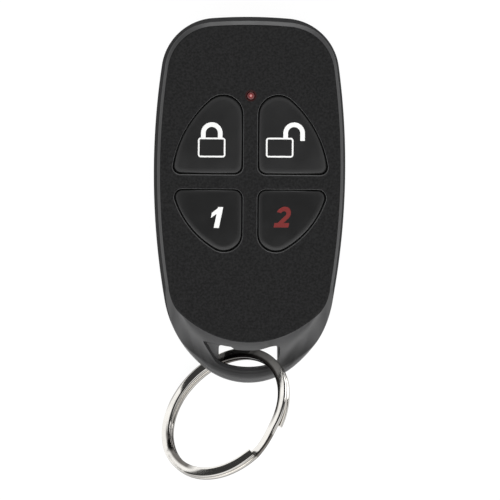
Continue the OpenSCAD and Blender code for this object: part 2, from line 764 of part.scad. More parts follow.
front_cover();
back_cover();
lock_key();
unlock_key();
first_key();
second_key();
lock_plunger();
unlock_plunger();
first_plunger();
second_plunger();
key_mat();
light_pipe();
lamp_chip();
circuit_board();
switch_bases();
switch_plates();
switch_terminals();
controller_chip();
radio_chip();
chip_leads();
crystal_can();
capacitors();
resistors();
aerial_loop();
battery_clip();
battery_contact();
cell_can();
cell_seal();
cell_cap();
case_screws();
split_ring();
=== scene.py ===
import json
import math
import bmesh
import bpy
import numpy as np
from mathutils import Matrix, Vector
from mathutils.geometry import delaunay_2d_cdt


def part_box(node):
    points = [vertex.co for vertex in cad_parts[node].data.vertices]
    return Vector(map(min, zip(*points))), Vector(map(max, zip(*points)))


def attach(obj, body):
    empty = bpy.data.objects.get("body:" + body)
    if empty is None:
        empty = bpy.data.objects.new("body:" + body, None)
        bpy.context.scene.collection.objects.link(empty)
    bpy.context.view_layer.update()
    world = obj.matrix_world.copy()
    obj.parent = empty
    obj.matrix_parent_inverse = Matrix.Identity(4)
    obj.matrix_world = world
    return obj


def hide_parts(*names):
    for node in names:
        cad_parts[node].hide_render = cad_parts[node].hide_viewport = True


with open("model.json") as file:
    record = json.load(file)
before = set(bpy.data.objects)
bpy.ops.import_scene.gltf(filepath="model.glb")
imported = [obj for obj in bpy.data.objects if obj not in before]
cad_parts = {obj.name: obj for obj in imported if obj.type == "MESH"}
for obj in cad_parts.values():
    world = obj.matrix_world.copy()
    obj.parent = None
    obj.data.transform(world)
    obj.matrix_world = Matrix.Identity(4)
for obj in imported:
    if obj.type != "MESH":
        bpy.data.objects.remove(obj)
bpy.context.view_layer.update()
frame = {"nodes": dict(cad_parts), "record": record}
nodes = frame["nodes"]
mm = 0.001    # shapes are worked out in millimetres and put into the meshes in metres


def boxMm(node):
    low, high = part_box(node)
    return np.array(low) / mm, np.array(high) / mm


def middleMm(node):
    low, high = boxMm(node)
    return (low + high) / 2


# Places that the frame gives: ends of the case, parting line, face, locating lip and lamp
frontLow, frontHigh = boxMm("front_cover")
tipY, topY = frontLow[1], frontHigh[1]
halfWidth = frontHigh[0]
splitHigh, faceHigh = frontLow[2], frontHigh[2]
lipHigh = boxMm("back_cover")[1][2]
lampAt = middleMm("light_pipe")
print("frame loaded, case", np.round(frontHigh - frontLow, 2), "mm")


# Small helpers for angles, arcs and easing

def unit(degrees):
    # vectors of length one at given directions
    turn = np.radians(degrees)
    return np.stack([np.cos(turn), np.sin(turn)], -1)


def heading(start, end):
    # direction from one point to another, in degrees
    return math.degrees(math.atan2(end[1] - start[1], end[0] - start[0]))


def eased(x):
    # three squares less two cubes of a share that is held between 0 and 1
    c = np.clip(x, 0, 1)
    return c * c * (3 - 2 * c)


def quarterRound(count):
    # quarter circle from an upright wall to a level top: distances in and below, as shares of its radius
    turn = np.linspace(0, np.pi / 2, count)
    return np.column_stack([1 - np.cos(turn), 1 - np.sin(turn)])


def meet(c1, r1, c2, r2, side):
    # where two circles cross, on the named side of the line between their centres
    gap = c2 - c1
    dist = math.hypot(*gap)
    u = gap / dist
    along = (dist ** 2 + r1 ** 2 - r2 ** 2) / (2 * dist)
    off = math.sqrt(r1 ** 2 - along ** 2)
    return c1 + along * u + side * off * np.array([-u[1], u[0]])


# Meshes: a piece is a list of patches, each (points, faces, place of its material), welded where they meet

sharpTurn = 35    # degrees between two faces from which their edge stays sharp


def newObject(name, data):
    made = bpy.data.objects.new(name, data)
    bpy.context.scene.collection.objects.link(made)
    return made


def gridPatch(rings, place=0):
    # closed rings of equally many points: faces join neighbours along each ring and from ring to ring
    rings = np.asarray(rings)
    rows, cols = rings.shape[:2]
    index = np.arange(rows * cols).reshape(rows, cols)
    index = np.concatenate([index, index[:, :1]], 1)
    quads = np.stack([index[:-1, :-1], index[:-1, 1:], index[1:, 1:], index[1:, :-1]], -1)
    return rings.reshape(-1, 3), quads.reshape(-1, 4), place


def fanPatch(ring, middle, place=0):
    # a closed ring of points joined to one middle point
    count = len(ring)
    index = np.arange(count)
    faces = np.stack([index, np.roll(index, -1), np.full(count, count)], -1)
    return np.concatenate([ring, [middle]]), faces, place


def cappedTube(rings, place=0):
    # a tube through rings, with a fan over each end
    ends = [fanPatch(ring, ring.mean(0), place) for ring in (rings[0], rings[-1])]
    return [gridPatch(rings, place), *ends]


def insideLoop(points, loop):
    # even-odd rule for many points against one closed loop
    x, y = points[:, :1], points[:, 1:]
    ax, ay = loop[:, 0], loop[:, 1]
    bx, by = np.roll(ax, -1), np.roll(ay, -1)
    spans = (ay > y) != (by > y)
    climb = np.where(by == ay, 1, by - ay)
    crosses = spans & (x < ax + (y - ay) * (bx - ax) / climb)
    return crosses.sum(1) % 2 == 1


def sheetPatch(outer, holes, height, place=0):
    # a flat sheet at one height between an outer loop and the loops of its holes
    loops = [outer, *holes]
    counts = [len(loop) for loop in loops]
    starts = np.cumsum([0, *counts[:-1]])
    edges = [(s + i, s + (i + 1) % n) for s, n in zip(starts, counts) for i in range(n)]
    flat = [Vector(p) for p in np.concatenate(loops).tolist()]
    made = delaunay_2d_cdt(flat, edges, [], 0, 1e-9)    # all triangles, and how close points count as one
    points = np.array([tuple(p) for p in made[0]])
    faces = np.array([f for f in made[2] if len(f) == 3])
    middles = points[faces].mean(1)
    keep = insideLoop(middles, outer)
    for hole in holes:
        keep &= ~insideLoop(middles, hole)
    return np.column_stack([points, np.full(len(points), height)]), faces[keep], place


def ringAt(loop, height):
    # a loop in plan, lifted to one height or to a height for each point
    return np.column_stack([loop, np.broadcast_to(height, len(loop))])


def makePiece(name, patches, materials, weld=2e-7):
    # patches with points in mm become one mesh, welded, turned outwards and shaded smooth
    mesh = bpy.data.meshes.new(name)
    starts = np.cumsum([0, *[len(p[0]) for p in patches[:-1]]])
    points = np.concatenate([p[0] for p in patches]) * mm
    faces = [f for start, p in zip(starts, patches) for f in (p[1] + start).tolist()]
    mesh.from_pydata(points.tolist(), [], faces)
    slots = np.concatenate([np.full(len(p[1]), p[2]) for p in patches])
    mesh.polygons.foreach_set("material_index", slots.astype(np.int32))
    shape = bmesh.new()
    shape.from_mesh(mesh)
    bmesh.ops.remove_doubles(shape, verts=shape.verts, dist=weld)
    bmesh.ops.dissolve_degenerate(shape, edges=shape.edges, dist=weld)
    bmesh.ops.recalc_face_normals(shape, faces=shape.faces)
    shape.to_mesh(mesh)
    shape.free()
    piece = newObject(name, mesh)
    for material in materials:
        mesh.materials.append(material)
    smooth(mesh)
    return piece


def smooth(mesh):
    mesh.shade_smooth()
    mesh.set_sharp_from_angle(angle=math.radians(sharpTurn))


def cutAway(piece, cutter):
    # takes the cutter's volume out of a piece, for good
    cut = piece.modifiers.new("cut", "BOOLEAN")
    cut.operation = "DIFFERENCE"
    cut.solver = "EXACT"
    cut.object = cutter
    settled = piece.evaluated_get(bpy.context.evaluated_depsgraph_get())
    mesh = bpy.data.meshes.new_from_object(settled)
    piece.modifiers.clear()
    piece.data = mesh
    smooth(mesh)


# Materials

smoothDepth = 0.000004    # depth of the grain on smooth mouldings, ink and metal, in metres


def fill(tree, node, inputs):
    # gives a node's inputs their values, or links them where the value is an output of another node
    for name, value in inputs.items():
        if isinstance(value, bpy.types.NodeSocket):
            tree.links.new(value, node.inputs[name])
        else:
            node.inputs[name].default_value = value


def addNode(tree, kind, inputs, **settings):
    made = tree.nodes.new("ShaderNode" + kind)
    for name, value in settings.items():
        setattr(made, name, value)
    fill(tree, made, inputs)
    return made


def newMaterial(name):
    material = bpy.data.materials.new(name)
    material.use_nodes = True
    tree = material.node_tree
    return material, tree, tree.nodes["Principled BSDF"]


def objectPoint(tree, scale=(1, 1, 1)):
    where = addNode(tree, "TexCoord", {})
    return addNode(tree, "Mapping", {"Vector": where.outputs["Object"], "Scale": scale}).outputs["Vector"]


def noise(tree, point, scale, detail=3, rough=0.5):
    inputs = {"Vector": point, "Scale": scale, "Detail": detail, "Roughness": rough}
    return addNode(tree, "TexNoise", inputs).outputs["Fac"]


def spread(tree, value, low, high, fromLow=0.3, fromHigh=0.7):
    # maps a value from one span to another
    inputs = {"Value": value, "From Min": fromLow, "From Max": fromHigh, "To Min": low, "To Max": high}
    return addNode(tree, "MapRange", inputs).outputs["Result"]


def ramp(tree, value, stops):
    made = addNode(tree, "ValToRGB", {"Fac": value})
    points = made.color_ramp.elements
    while len(points) < len(stops):
        points.new(0.5)
    for point, (place, colour) in zip(points, stops):
        point.position = place
        point.color = (*colour, 1)
    return made.outputs["Color"]


def arithmetic(tree, operation, total, *others):
    # joins values by one operation, from left to right
    for other in others:
        total = addNode(tree, "Math", {0: total, 1: other}, operation=operation).outputs[0]
    return total


def bump(tree, height, distance):
    inputs = {"Strength": 1, "Distance": distance, "Height": height}
    return addNode(tree, "Bump", inputs).outputs["Normal"]


def plastic(name, dark, light, rough, grain, depth=smoothDepth, specular=0.5, mottle=60):
    # moulded plastic: colour that drifts a little, roughness that varies and a fine grain in the surface
    material, tree, shader = newMaterial(name)
    point = objectPoint(tree)
    fill(tree, shader, {
        "Base Color": ramp(tree, noise(tree, point, mottle), [(0.35, dark), (0.65, light)]),
        "Roughness": spread(tree, noise(tree, point, mottle * 6), *rough),
        "Normal": bump(tree, noise(tree, point, grain, 4, 0.6), depth),
        "Specular IOR Level": specular})
    return material


def metal(name, dark, light, rough, scale):
    # metal with streaks: noise scaled along each axis drives colour, roughness and fine scratches
    material, tree, shader = newMaterial(name)
    streak = noise(tree, objectPoint(tree, scale), 1, 5, 0.6)
    fill(tree, shader, {
        "Base Color": ramp(tree, streak, [(0.3, dark), (0.7, light)]),
        "Roughness": spread(tree, streak, *rough),
        "Normal": bump(tree, streak, smoothDepth),
        "Metallic": 1})
    return material


def grainFace(name, dark, light, rough, specular, scale, depth):
    # matt textured plastic: one fine grain drives the colour, the roughness and the bump
    material, tree, shader = newMaterial(name)
    grain = noise(tree, objectPoint(tree), scale, 3, 0.65)
    fill(tree, shader, {
        "Base Color": ramp(tree, grain, [(0.36, dark), (0.64, light)]),
        "Roughness": spread(tree, grain, *rough),
        "Normal": bump(tree, grain, depth),
        "Specular IOR Level": specular})
    return material


def fadeToGloss(material, start, end, level):
    # the side wall is matt and turns glossy towards the lug, by its place along Y
    tree = material.node_tree
    place = addNode(tree, "SeparateXYZ", {0: objectPoint(tree)}).outputs
    gloss = spread(tree, place["Y"], 0, level, start, end)
    fill(tree, tree.nodes["Principled BSDF"], {"Specular IOR Level": gloss})


def fromAxis(tree, centre, radius, turn=(0, 0, 0)):
    # the object's points seen from an axis, in units of a radius across it, and their distance from it
    where = addNode(tree, "TexCoord", {})
    inputs = {"Vector": where.outputs["Object"], "Location": np.array(centre) * mm, "Rotation": turn,
              "Scale": (radius * mm, radius * mm, 1e6)}
    place = addNode(tree, "Mapping", inputs, vector_type="TEXTURE").outputs["Vector"]
    away = addNode(tree, "VectorMath", {0: place}, operation="LENGTH")
    return addNode(tree, "SeparateXYZ", {0: place}).outputs, away.outputs["Value"]


def paintLugShade(material, low, spanOut, spanDown):
    # painted shade: the moulding's colour is darkened on the lug's bar, which lies low and far out from the
    # lug's middle
    tree = material.node_tree
    shader = tree.nodes["Principled BSDF"]
    place, away = fromAxis(tree, (0, tipY + caseShape["lugRadius"], 0), caseShape["lugRadius"])
    beyond = spread(tree, away, 1, low, *spanOut)
    below = spread(tree, place["Y"], low, 1, *spanDown)
    inputs = {0: shader.inputs["Base Color"].links[0].from_socket,
              "Scale": arithmetic(tree, "MAXIMUM", beyond, below)}
    shade = addNode(tree, "VectorMath", inputs, operation="SCALE")
    fill(tree, shader, {"Base Color": shade.outputs[0]})


def grey(level):
    # the greys lean a little to blue
    return (level, level, level * 1.02)


caseGloss = plastic("caseGloss", grey(0.041), grey(0.048), (0.38, 0.46), 900)
# painted light: the slot's walls get a lighter copy of the gloss moulding, standing in for light in the
# slot
slotGlossPaintedLight = plastic("slotGlossPaintedLight", grey(0.055), grey(0.065), (0.38, 0.46), 900)
caseFace = grainFace("caseFace", grey(0.0085), grey(0.019), (0.6, 0.7), 0.1, 2600, 0.00003)
caseSide = plastic("caseSide", grey(0.032), grey(0.038), (0.38, 0.46), 900)
fadeToGloss(caseSide, -0.021, -0.026, 0.5)    # from and to a place along Y, in metres
caseBack = grainFace("caseBack", grey(0.014), grey(0.028), (0.55, 0.65), 0.2, 2600, 0.00003)
# the lower keys take a darker copy of the same satin plastic: painted shade
keySatin, keyPaintedShade = [plastic(name, grey(low), grey(low * 1.3), (0.32, 0.38), 2400, 0.00001, 0.45)
                     for name, low in (("keySatin", 0.0105), ("keyPaintedShade", 0.0065))]
# the lamp hole's walls are tinted dark red: the lamp's red glow painted on them
lampRimPaintedGlow = plastic("lampRimPaintedGlow", (0.022, 0.007, 0.007), (0.03, 0.009, 0.009), (0.5, 0.6), 2400, 0.00001, 0.1)
inkWhite = plastic("inkWhite", (0.84, 0.84, 0.83), (0.92, 0.92, 0.91), (0.45, 0.6), 4000, smoothDepth, 0.3)
inkRed = plastic("inkRed", (0.15, 0.017, 0.016), (0.2, 0.022, 0.021), (0.45, 0.6), 4000, smoothDepth, 0.3)
screwSteel = metal("screwSteel", (0.50, 0.50, 0.51), (0.68, 0.68, 0.69), (0.25, 0.4), (900, 90, 900))
print("materials made")


# Outline of the case: five tangent arcs down the right side, from the middle of the top to the lug's tip

caseShape = {
    "topRadius": 85.0, "cornerRadius": 9.6, "sideRadius": 128.0, "haunchRadius": 18.9, "lugRadius": 12.2,
    "widestUp": 5.3,
    # edge of the front face, and the directions between which its wall leans more along the top
    "sideRim": 1.05, "topRim": 1.5, "bevelHeight": 0.55,
    "wallLean": 0.5, "topLean": 0.2, "topSpan": (55.0, 80.0),
    "faceSetback": 7.2, "faceEndRadius": 16.3, "faceBlendRadius": 4.5, "edgeBlendRadius": 9.0,
    "backRim": 3.0, "backRound": 2.8, "backLean": 0.4, "backSetback": 8.5,
    "sideWall": 2.0, "cavitySetback": 9.8, "lipWidth": 0.9, "lipGap": 0.1, "skin": 1.6, "floor": 1.6,
    "lugThick": 4.0, "lugEdge": 1.0, "haunchLean": 0.1, "rimWidth": 1.6, "rimSquare": 3.0,
    # directions below level between which the back and the front sink to the lug, and the front's wall
    # and rim change
    "backSpan": (7.0, 42.0), "frontSpan": (20.0, 64.0), "leanSpan": (8.0, 30.0), "rimSpan": (32.0, 54.0),
    "sideBow": 2.4, "scoopEnd": 70.0,
    # small chamfer of both covers along the parting line, and the share of it that the next ring is set in
    "seam": 0.1, "seamIn": 0.3,
    # rounding of the crease: its share of the wall and its width on the bevel, and both shares on the back
    "creaseWall": 0.035, "creaseBevel": 0.12, "creaseBack": 0.02,
    # share of the bevel at which its inner edge rounds, on the side and on the lug, and how far inside that
    # edge the rounding ends and the flat sheet starts
    "edgeFrom": (0.15, 0.02), "edgeEnd": (0.14, 0.22),
    "arcSteps": [20, 44, 90, 44, 54], "skinSteps": (16, 9, 30, 6),
    "sideRows": 20, "faceRows": 7,    # rows of the skin with the side's finish, and with the face's
}


def outlineArcs(inset, setback, blend, end, topInset=None):
    # centres and radii of the arcs, and the direction in which each ends. Neighbours touch, so the corner's
    # and the haunch's centre each lie where two circles about their neighbours' centres cross.
    s = caseShape
    topInset = inset if topInset is None else topInset
    rt, rs = s["topRadius"] - topInset, s["sideRadius"] - inset
    rc = s["cornerRadius"] - (inset + topInset) / 2
    top = np.array([0, topY - s["topRadius"]])
    side = np.array([halfWidth - s["sideRadius"], s["widestUp"]])
    low = np.array([0, tipY + setback + end])
    corner = meet(side, rs - rc, top, rt - rc, 1)
    haunch = meet(side, rs - blend, low, abs(end - blend), 1 if blend > end else -1)
    last = heading(haunch, low) if blend > end else heading(low, haunch)
    ends = np.array([heading(top, corner), heading(side, corner), heading(side, haunch), last, -90])
    return np.array([top, corner, side, haunch, low]), np.array([rt, rc, rs, blend, end]), ends


def edgePoints(arcs, directions, inset=0):
    # points of an outline at given outward directions, moved inwards
    centres, radii, ends = arcs
    pick = np.clip(np.searchsorted(-ends, -directions - 1e-9), 0, len(ends) - 1)
    return centres[pick] + (radii[pick] - inset)[:, None] * unit(directions)


def bothSides(half):
    # the right half of a ring, or of a stack of rings, closed by its mirror image
    other = half[..., -2:0:-1, :].copy()
    other[..., 0] *= -1
    return np.concatenate([half, other], -2)


# painted shade darkens the gloss moulding on the lug's bar
paintLugShade(caseGloss, 0.4, (0.76, 0.86), (-0.55, -0.35))
caseArcs = outlineArcs(0, 0, caseShape["haunchRadius"], caseShape["lugRadius"])
faceArcs, backArcs, cavityArcs = [outlineArcs(*[caseShape[name] for name in names]) for names in (
    ("sideRim", "faceSetback", "edgeBlendRadius", "faceEndRadius", "topRim"),
    ("backRim", "backSetback", "faceBlendRadius", "faceEndRadius"),
    ("sideWall", "cavitySetback", "faceBlendRadius", "faceEndRadius"))]
arcEnds = np.concatenate([[90], caseArcs[2]])
stations = np.concatenate([np.linspace(a, b, n, endpoint=False) for a, b, n
                           in zip(arcEnds[:-1], arcEnds[1:], caseShape["arcSteps"])] + [[-90]])


def rise(x, span):
    # eased share of the way through a span
    return eased((x - span[0]) / (span[1] - span[0]))


backShare, frontShare, leanShare, rimShare = [rise(-stations, caseShape[part + "Span"])
                                              for part in ("back", "front", "lean", "rim")]


def loopOf(arcs, inset=0):
    # the whole closed outline of some arcs, moved inwards
    return bothSides(edgePoints(arcs, stations, inset))


def sharpProfile(k, width, front):
    # distance in and height along the wall: a bowed wall for k 0 to 1, then for k 1 to 2 a bevel to the
    # front face or a rounded edge to the back face. Towards the lug the crease at k 1 sinks, the wall turns
    # into a quarter round and the bevel into a hollow scoop.
    s = caseShape
    if front:
        w, reach, drop = frontShare, faceHigh - splitHigh, s["bevelHeight"]
        lean = s["wallLean"] + s["topLean"] * rise(stations, s["topSpan"])
        lean = lean + (s["haunchLean"] - lean) * leanShare
        creaseIn = lean + (s["rimWidth"] - s["haunchLean"]) * rimShare
    else:
        w, reach, drop = backShare, splitHigh, s["backRound"]
        creaseIn = s["backLean"] + (s["lugEdge"] - s["backLean"]) * w
    creaseUp = (reach - drop) + (s["lugThick"] / 2 - reach + drop) * w
    h, g = np.clip(k, 0, 1), np.clip(k - 1, 0, 1)
    full = 2 / s["rimSquare"] if front else 1
    quarterIn, quarterUp = 1 - np.cos(np.pi / 2 * h) ** full, np.sin(np.pi / 2 * h) ** full
    bowed = h ** s["sideBow"]
    wallIn = creaseIn * (bowed + (quarterIn - bowed) * w)
    wallUp = creaseUp * (h + (quarterUp - h) * w)
    end = math.radians(s["scoopEnd"])
    scoopIn = np.sin(end * g) / math.sin(end)
    scoopUp = (1 - np.cos(end * g)) / (1 - math.cos(end))
    sideIn, sideUp = (g, g) if front else (1 - np.cos(np.pi / 2 * g), np.sin(np.pi / 2 * g))
    edgeIn = creaseIn + (width - creaseIn) * (sideIn + (scoopIn - sideIn) * w)
    edgeUp = creaseUp + (reach - creaseUp) * (sideUp + (scoopUp - sideUp) * w)
    return np.where(k <= 1, wallIn, edgeIn), np.where(k <= 1, wallUp, edgeUp)


def bend(t, a, b, c):
    # quadratic curve from a to c that rounds the corner b
    return (1 - t) ** 2 * a + 2 * t * (1 - t) * b + t ** 2 * c


def coverSkin(front):
    # rings of a cover's outer skin from the parting line to just inside the face's edge
    s = caseShape
    arcs, top, side = (faceArcs, faceHigh, 1) if front else (backArcs, 0.0, -1)
    outer, inner = edgePoints(caseArcs, stations), edgePoints(arcs, stations)
    width = np.linalg.norm(inner - outer, axis=1)
    even = np.ones(len(stations))
    wallSteps, turnSteps, edgeSteps, roundSteps = s["skinSteps"]
    # the places along k where the crease's rounding starts and ends, and where the inner edge's starts
    before = s["creaseWall"] if front else s["creaseBack"]
    after = s["creaseBevel"] / width if front else s["creaseBack"]
    onSide, onLug = s["edgeFrom"]
    rim = 2 - (onSide + (onLug - onSide) * (frontShare if front else even))
    wall = np.linspace(0, 1 - before, wallSteps)[:, None] * even
    turn = np.linspace(0, 1, turnSteps)[1:, None]
    edge = 1 + after + (rim - 1 - after) * np.linspace(0, 1, edgeSteps)[1:, None]
    corners = [sharpProfile(k * even, width, front) for k in (1 - before, 1.0, 1 + after)]
    crease = np.stack([bend(turn, *[corner[i] for corner in corners]) for i in (0, 1)])
    rows = np.concatenate([np.stack(sharpProfile(wall, width, front)), crease,
                           np.stack(sharpProfile(edge, width, front))], 1)
    rows[0, 0] = s["seam"]
    rows[0, 1] += s["seam"] * s["seamIn"]
    rows[1, 1] = s["seam"]
    plan = outer + (inner - outer) * (rows[0] / width)[..., None]
    skin = np.concatenate([plan, splitHigh + side * rows[1][..., None]], -1)
    # the last rings round the edge of the face, in space
    settled, guard = [ringAt(edgePoints(arcs, stations, inset), top) for inset in s["edgeEnd"]]
    t = np.linspace(0, 1, roundSteps)[1:, None, None]
    rounded = bend(t, skin[-1], ringAt(inner, top), settled)
    return bothSides(np.concatenate([skin, rounded, guard[None]]))


# Keys: an outline of four arcs and two straight sides; the left keys are mirrored

keyShape = {
    "inner": 1.47, "gap": 0.3, "innerCorner": 1.3, "outerCorner": 1.2, "flange": 0.7, "flangeThick": 0.6,
    "crown": 90.0, "rollAt": 9.5, "roll": 0.45,
    "edge": 0.3,             # rounded edge of a key's top
    "shoulder": 1.05, "shoulderDrop": 0.1,     # soft slope inside that edge
    "apexSpan": (0.35, 0.95),    # where the outline faces the pointed end, and falls deeper by apexDrop
    # rounded edge of the window around it, the flat beside it, and its share along the top with the span
    # over which that share sets in
    "lip": 0.2, "lipFlat": 0.08, "lipTop": 0.3, "lipSpan": (-0.7, 0.5),
    "close": 0.1,            # how far key and window each take from the gap
    "steps": [28, 30, 14, 24, 14, 24],
    "edgeRings": 9, "shoulderRings": 8, "domeRings": 14,    # over a rounded edge, the slope and the dome
}
upperKey = {"base": 4.65, "length": 13.45, "tip": 3.3, "side": 19.4, "turn": 48.6, "up": 1,
            "apexDrop": 0.05}
lowerKey = {"base": 1.73, "length": 10.5, "tip": 3.0, "side": 15.9, "turn": 59.2, "up": -1,
            "apexDrop": 0.13}
keys = {"lock": (upperKey, -1), "unlock": (upperKey, 1), "first": (lowerKey, -1), "second": (lowerKey, 1)}


def keyLoop(body, outset):
    # each point is a centre plus a radius along a direction; on straight sides the centre slides instead
    key, side = keys[body]
    s = keyShape
    tip = np.array([s["inner"] + key["tip"], key["length"] - key["tip"]])
    flank = tip - (key["side"] - key["tip"]) * unit(key["turn"])
    reach = math.sqrt((key["side"] - s["outerCorner"]) ** 2 - (s["outerCorner"] - flank[1]) ** 2)
    outer = np.array([flank[0] + reach, s["outerCorner"]])
    inner = np.array([s["inner"] + s["innerCorner"], s["innerCorner"]])
    fall = heading(flank, outer)
    legs = [((tip, key["tip"], 180), (tip, key["tip"], key["turn"])),
            ((flank, key["side"], key["turn"]), (flank, key["side"], fall)),
            ((outer, s["outerCorner"], fall), (outer, s["outerCorner"], -90)),
            ((outer, s["outerCorner"], -90), (inner, s["innerCorner"], -90)),
            ((inner, s["innerCorner"], -90), (inner, s["innerCorner"], -180)),
            ((inner, s["innerCorner"], -180), (tip, key["tip"], -180))]
    points = []
    for ((c1, r1, a1), (c2, r2, a2)), count in zip(legs, s["steps"]):
        t = np.linspace(0, 1, count, endpoint=False)
        centre = c1 + (c2 - c1) * t[:, None]
        points.append(centre + (r1 + (r2 - r1) * t + outset)[:, None] * unit(a1 + (a2 - a1) * t))
    loop = np.concatenate(points)
    return np.column_stack([side * loop[:, 0], key["base"] + key["up"] * loop[:, 1]])


def keyDome(body, plan):
    # height of a key's crowned top: a sphere cap centred over its switch, less a share of the distance's
    # fourth power
    middle = middleMm(body + "_plunger")[:2]
    top = boxMm(body + "_key")[1][2]
    away = ((plan - middle) ** 2).sum(-1)
    k = keyShape
    return top - k["crown"] + np.sqrt(k["crown"] ** 2 - away) - k["roll"] * (away / k["rollAt"] ** 2) ** 2


def keyRing(body, inset, drop):
    # a key's outline moved inwards, at the height of its dome less a drop
    loop = keyLoop(body, keyShape["close"] - inset)
    return ringAt(loop, keyDome(body, loop) - drop)


def makeKey(body):
    # from below: flange, wall, a quarter round edge, a soft slope, then rings that shrink over the dome
    s = keyShape
    low = boxMm(body + "_key")[0][2]
    middle = middleMm(body + "_plunger")[:2]
    flangeHigh = low + s["flangeThick"]
    flange, cap = keyLoop(body, s["gap"] + s["flange"]), keyLoop(body, s["close"])
    rings = [ringAt(flange, low), ringAt(flange, flangeHigh), ringAt(cap, flangeHigh)]
    key = keys[body][0]
    facing = (keyLoop(body, 1) - keyLoop(body, 0))[:, 1] * key["up"]
    fall = s["shoulderDrop"] + key["apexDrop"] * rise(facing, s["apexSpan"])
    edge = s["edge"] * quarterRound(s["edgeRings"])
    soft = [(inset, 0) for inset in np.linspace(s["edge"], s["shoulder"], s["shoulderRings"])[1:]]
    for inset, drop in [*edge, *soft]:
        rings.append(keyRing(body, inset, drop + fall * (1 - inset / s["shoulder"]) ** 2))
    shoulder = keyLoop(body, s["close"] - s["shoulder"])
    for share in np.linspace(1, 0, s["domeRings"])[1:-1]:
        loop = middle + (shoulder - middle) * share
        rings.append(ringAt(loop, keyDome(body, loop)))
    top = [*middle, float(keyDome(body, middle))]
    ends = [fanPatch(rings[0], [*middle, low]), fanPatch(rings[-1], top)]
    finish = keySatin if key is upperKey else keyPaintedShade
    piece = makePiece(body + "_key_cap", [gridPatch(rings), *ends], [finish])
    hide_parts(body + "_key")
    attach(piece, body)


for body in keys:
    makeKey(body)
print("keys made")


# Legends: ink about as thick as a hair that follows the dome of its key

ink = {"thick": 0.03, "sink": 0.05, "under": 0.003}
padlock = {"stroke": 0.28, "corner": 0.5, "half": (2.38, 1.71), "arch": 1.86, "archStroke": 0.8,
           "frameSteps": [8, 12], "archSteps": [5, 40, 5],
           "lock": {"body": (-6.72, 9.1), "arch": (-6.72, 11.6), "legs": (10.6, 10.6)},
           "unlock": {"body": (5.05, 9.16), "arch": (7.53, 11.67), "legs": (10.7, 10.35)}}
numeral = {"slant": 0.2, "stroke": 0.78, "height": 3.6, "half": 1.3,
           "first": (-5.9, -3.0), "second": (5.7, -2.85),
           # the one: width of its upright in strokes, and the right and left end of its flag
           "uprightWide": 1.15, "flag": (0.2, -0.85), "flagDrop": (0, 1.0), "flagThick": (1.0, 0.9),
           # the two: radius and directions of its bowl, the way its tail runs, and the ends of its foot
           "bowl": 1.25, "bowlTurn": (165, -40), "tail": (-0.643, -0.766), "foot": (0.05, 2.6),
           "bowlSteps": [36, 12], "lineSteps": 10}


def band(stops, counts, outer, inner):
    # two paths beside a centre that slides and a direction that turns from stop to stop
    places = np.concatenate([np.linspace(0, 1, n, endpoint=False) + i for i, n in enumerate(counts)])
    places = np.append(places, len(counts))
    stops = np.array(stops, float)
    x, y, turn = [np.interp(places, np.arange(len(stops)), stops[:, i]) for i in range(3)]
    centre = np.column_stack([x, y])
    return centre + outer * unit(turn), centre + inner * unit(turn)


def inkPatches(body, outer, inner, closed=False, under=0):
    # the strip between two paths, as a thin solid on the key
    high, low = ink["thick"] - under, -ink["sink"]
    edges = [(outer, low), (outer, high), (inner, high), (inner, low)]
    rows = np.stack([ringAt(path, keyDome(body, path) + up) for path, up in edges], 1)
    ends = [] if closed else [(row, np.array([[0, 1, 2, 3]]), 0) for row in (rows[0], rows[-1])]
    return [gridPatch(rows), *ends]


def padlockPatches(body):
    # body: a rounded frame; shackle: a straight leg, half a circle and a second leg
    p, at = padlock, padlock[body]
    cx, cy = at["body"]
    ax, ay = p["half"][0] - p["corner"], p["half"][1] - p["corner"]
    corners = [(cx + ax, cy + ay), (cx - ax, cy + ay), (cx - ax, cy - ay), (cx + ax, cy - ay)]
    stops = [(*corner, 90 * q + turn) for q, corner in enumerate(corners) for turn in (0, 90)]
    stops.append((*corners[0], 360))
    outer, inner = band(stops, p["frameSteps"] * 4, p["corner"], p["corner"] - p["stroke"])
    x, y = at["arch"]
    left, right = at["legs"]
    arch = [(x, left, 180), (x, y, 180), (x, y, 0), (x, right, 0)]
    arch = band(arch, p["archSteps"], p["arch"], p["arch"] - p["archStroke"])
    return inkPatches(body, outer, inner, True) + inkPatches(body, *arch, under=ink["under"])


def slanted(body, points):
    # a numeral's points about its place on the key, each moved aside by a share of its height
    n = numeral
    middle = np.array(n[body])
    points = np.array(points, float) - [n["half"], n["height"] / 2]
    return middle + points + np.column_stack([n["slant"] * points[:, 1], np.zeros(len(points))])


def strip(start, end):
    # points evenly along a straight line, so that ink can follow the dome
    return np.linspace(start, end, numeral["lineSteps"])


def numeralPatches(body):
    # one: an upright and a flag; two: a bowl that runs into a diagonal, and a foot
    n = numeral
    w, h, x = n["stroke"], n["height"], n["half"]
    if body == "first":
        wide = x + w * n["uprightWide"]
        upper = [(x + out, h - drop) for out, drop in zip(n["flag"], n["flagDrop"])]
        lower = [(px, py - thick) for (px, py), thick in zip(upper, n["flagThick"])]
        parts = [(strip((x, 0), (x, h)), strip((wide, 0), (wide, h))), (strip(*upper), strip(*lower))]
    else:
        r, (start, end), (tx, ty) = n["bowl"], n["bowlTurn"], n["tail"]
        y = h - r
        run = (y + tx * r) / -ty
        stops = [(x, y, start), (x, y, end), (x + tx * run, y + ty * run, end)]
        foot = [strip(*[(px, high) for px in n["foot"]]) for high in (w, 0)]
        parts = [band(stops, n["bowlSteps"], r, r - w), foot]
    made = []
    for i, (outer, inner) in enumerate(parts):
        made += inkPatches(body, slanted(body, outer), slanted(body, inner), under=ink["under"] * i)
    return made


def makeLegend(body):
    patches = padlockPatches(body) if body in padlock else numeralPatches(body)
    red = body == "second"
    piece = makePiece(body + "_legend", patches, [inkRed if red else inkWhite], weld=1e-9)
    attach(piece, body)


for body in keys:
    makeLegend(body)
print("legends made")


# Slot through the lug

